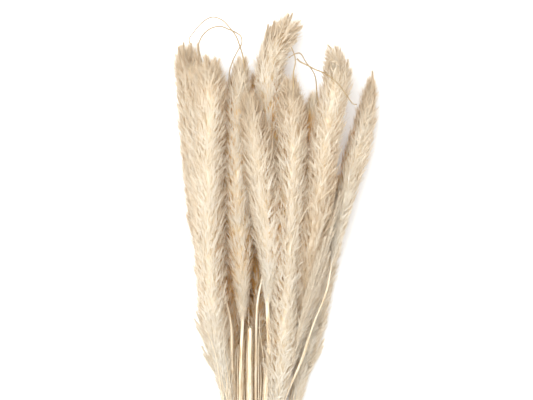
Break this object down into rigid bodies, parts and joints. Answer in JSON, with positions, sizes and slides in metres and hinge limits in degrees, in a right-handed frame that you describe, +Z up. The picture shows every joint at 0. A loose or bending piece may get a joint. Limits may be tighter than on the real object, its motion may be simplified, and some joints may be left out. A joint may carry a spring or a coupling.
{
  "type": "bundle of pampas grass",
  "caption": "Bundle of dried cream pampas grass: slim fluffy foxtail plumes on straw culms, tied with twine, lying on its side.",
  "frame": {"origin": "on the surface that the bundle lies on, at the middle of the pressed flat face under the tie", "axes": "+Y along the bundle towards the plume tips, +Z up from the surface"},
  "size_m": [0.2022, 0.6782, 0.0799],
  "materials": {
    "plume": "matte",
    "culm": "satin",
    "strand": "satin",
    "tie": "matte"
  },
  "bodies": {
    "root": {"plume_01": "plume", "plume_02": "plume", "plume_03": "plume", "plume_04": "plume", "plume_05": "plume", "plume_06": "plume", "plume_07": "plume", "plume_08": "plume", "plume_09": "plume", "plume_10": "plume", "plume_11": "plume", "plume_12": "plume", "plume_13": "plume", "plume_14": "plume", "plume_15": "plume", "culm_01": "culm", "culm_02": "culm", "culm_03": "culm", "culm_04": "culm", "culm_05": "culm", "culm_06": "culm", "culm_07": "culm", "culm_08": "culm", "culm_09": "culm", "culm_10": "culm", "culm_11": "culm", "culm_12": "culm", "culm_13": "culm", "culm_14": "culm", "culm_15": "culm", "culm_16": "culm", "strand_1": "strand", "strand_2": "strand", "strand_3": "strand", "strand_4": "strand", "strand_5": "strand", "tie": "tie"}
  },
  "joints": []
}
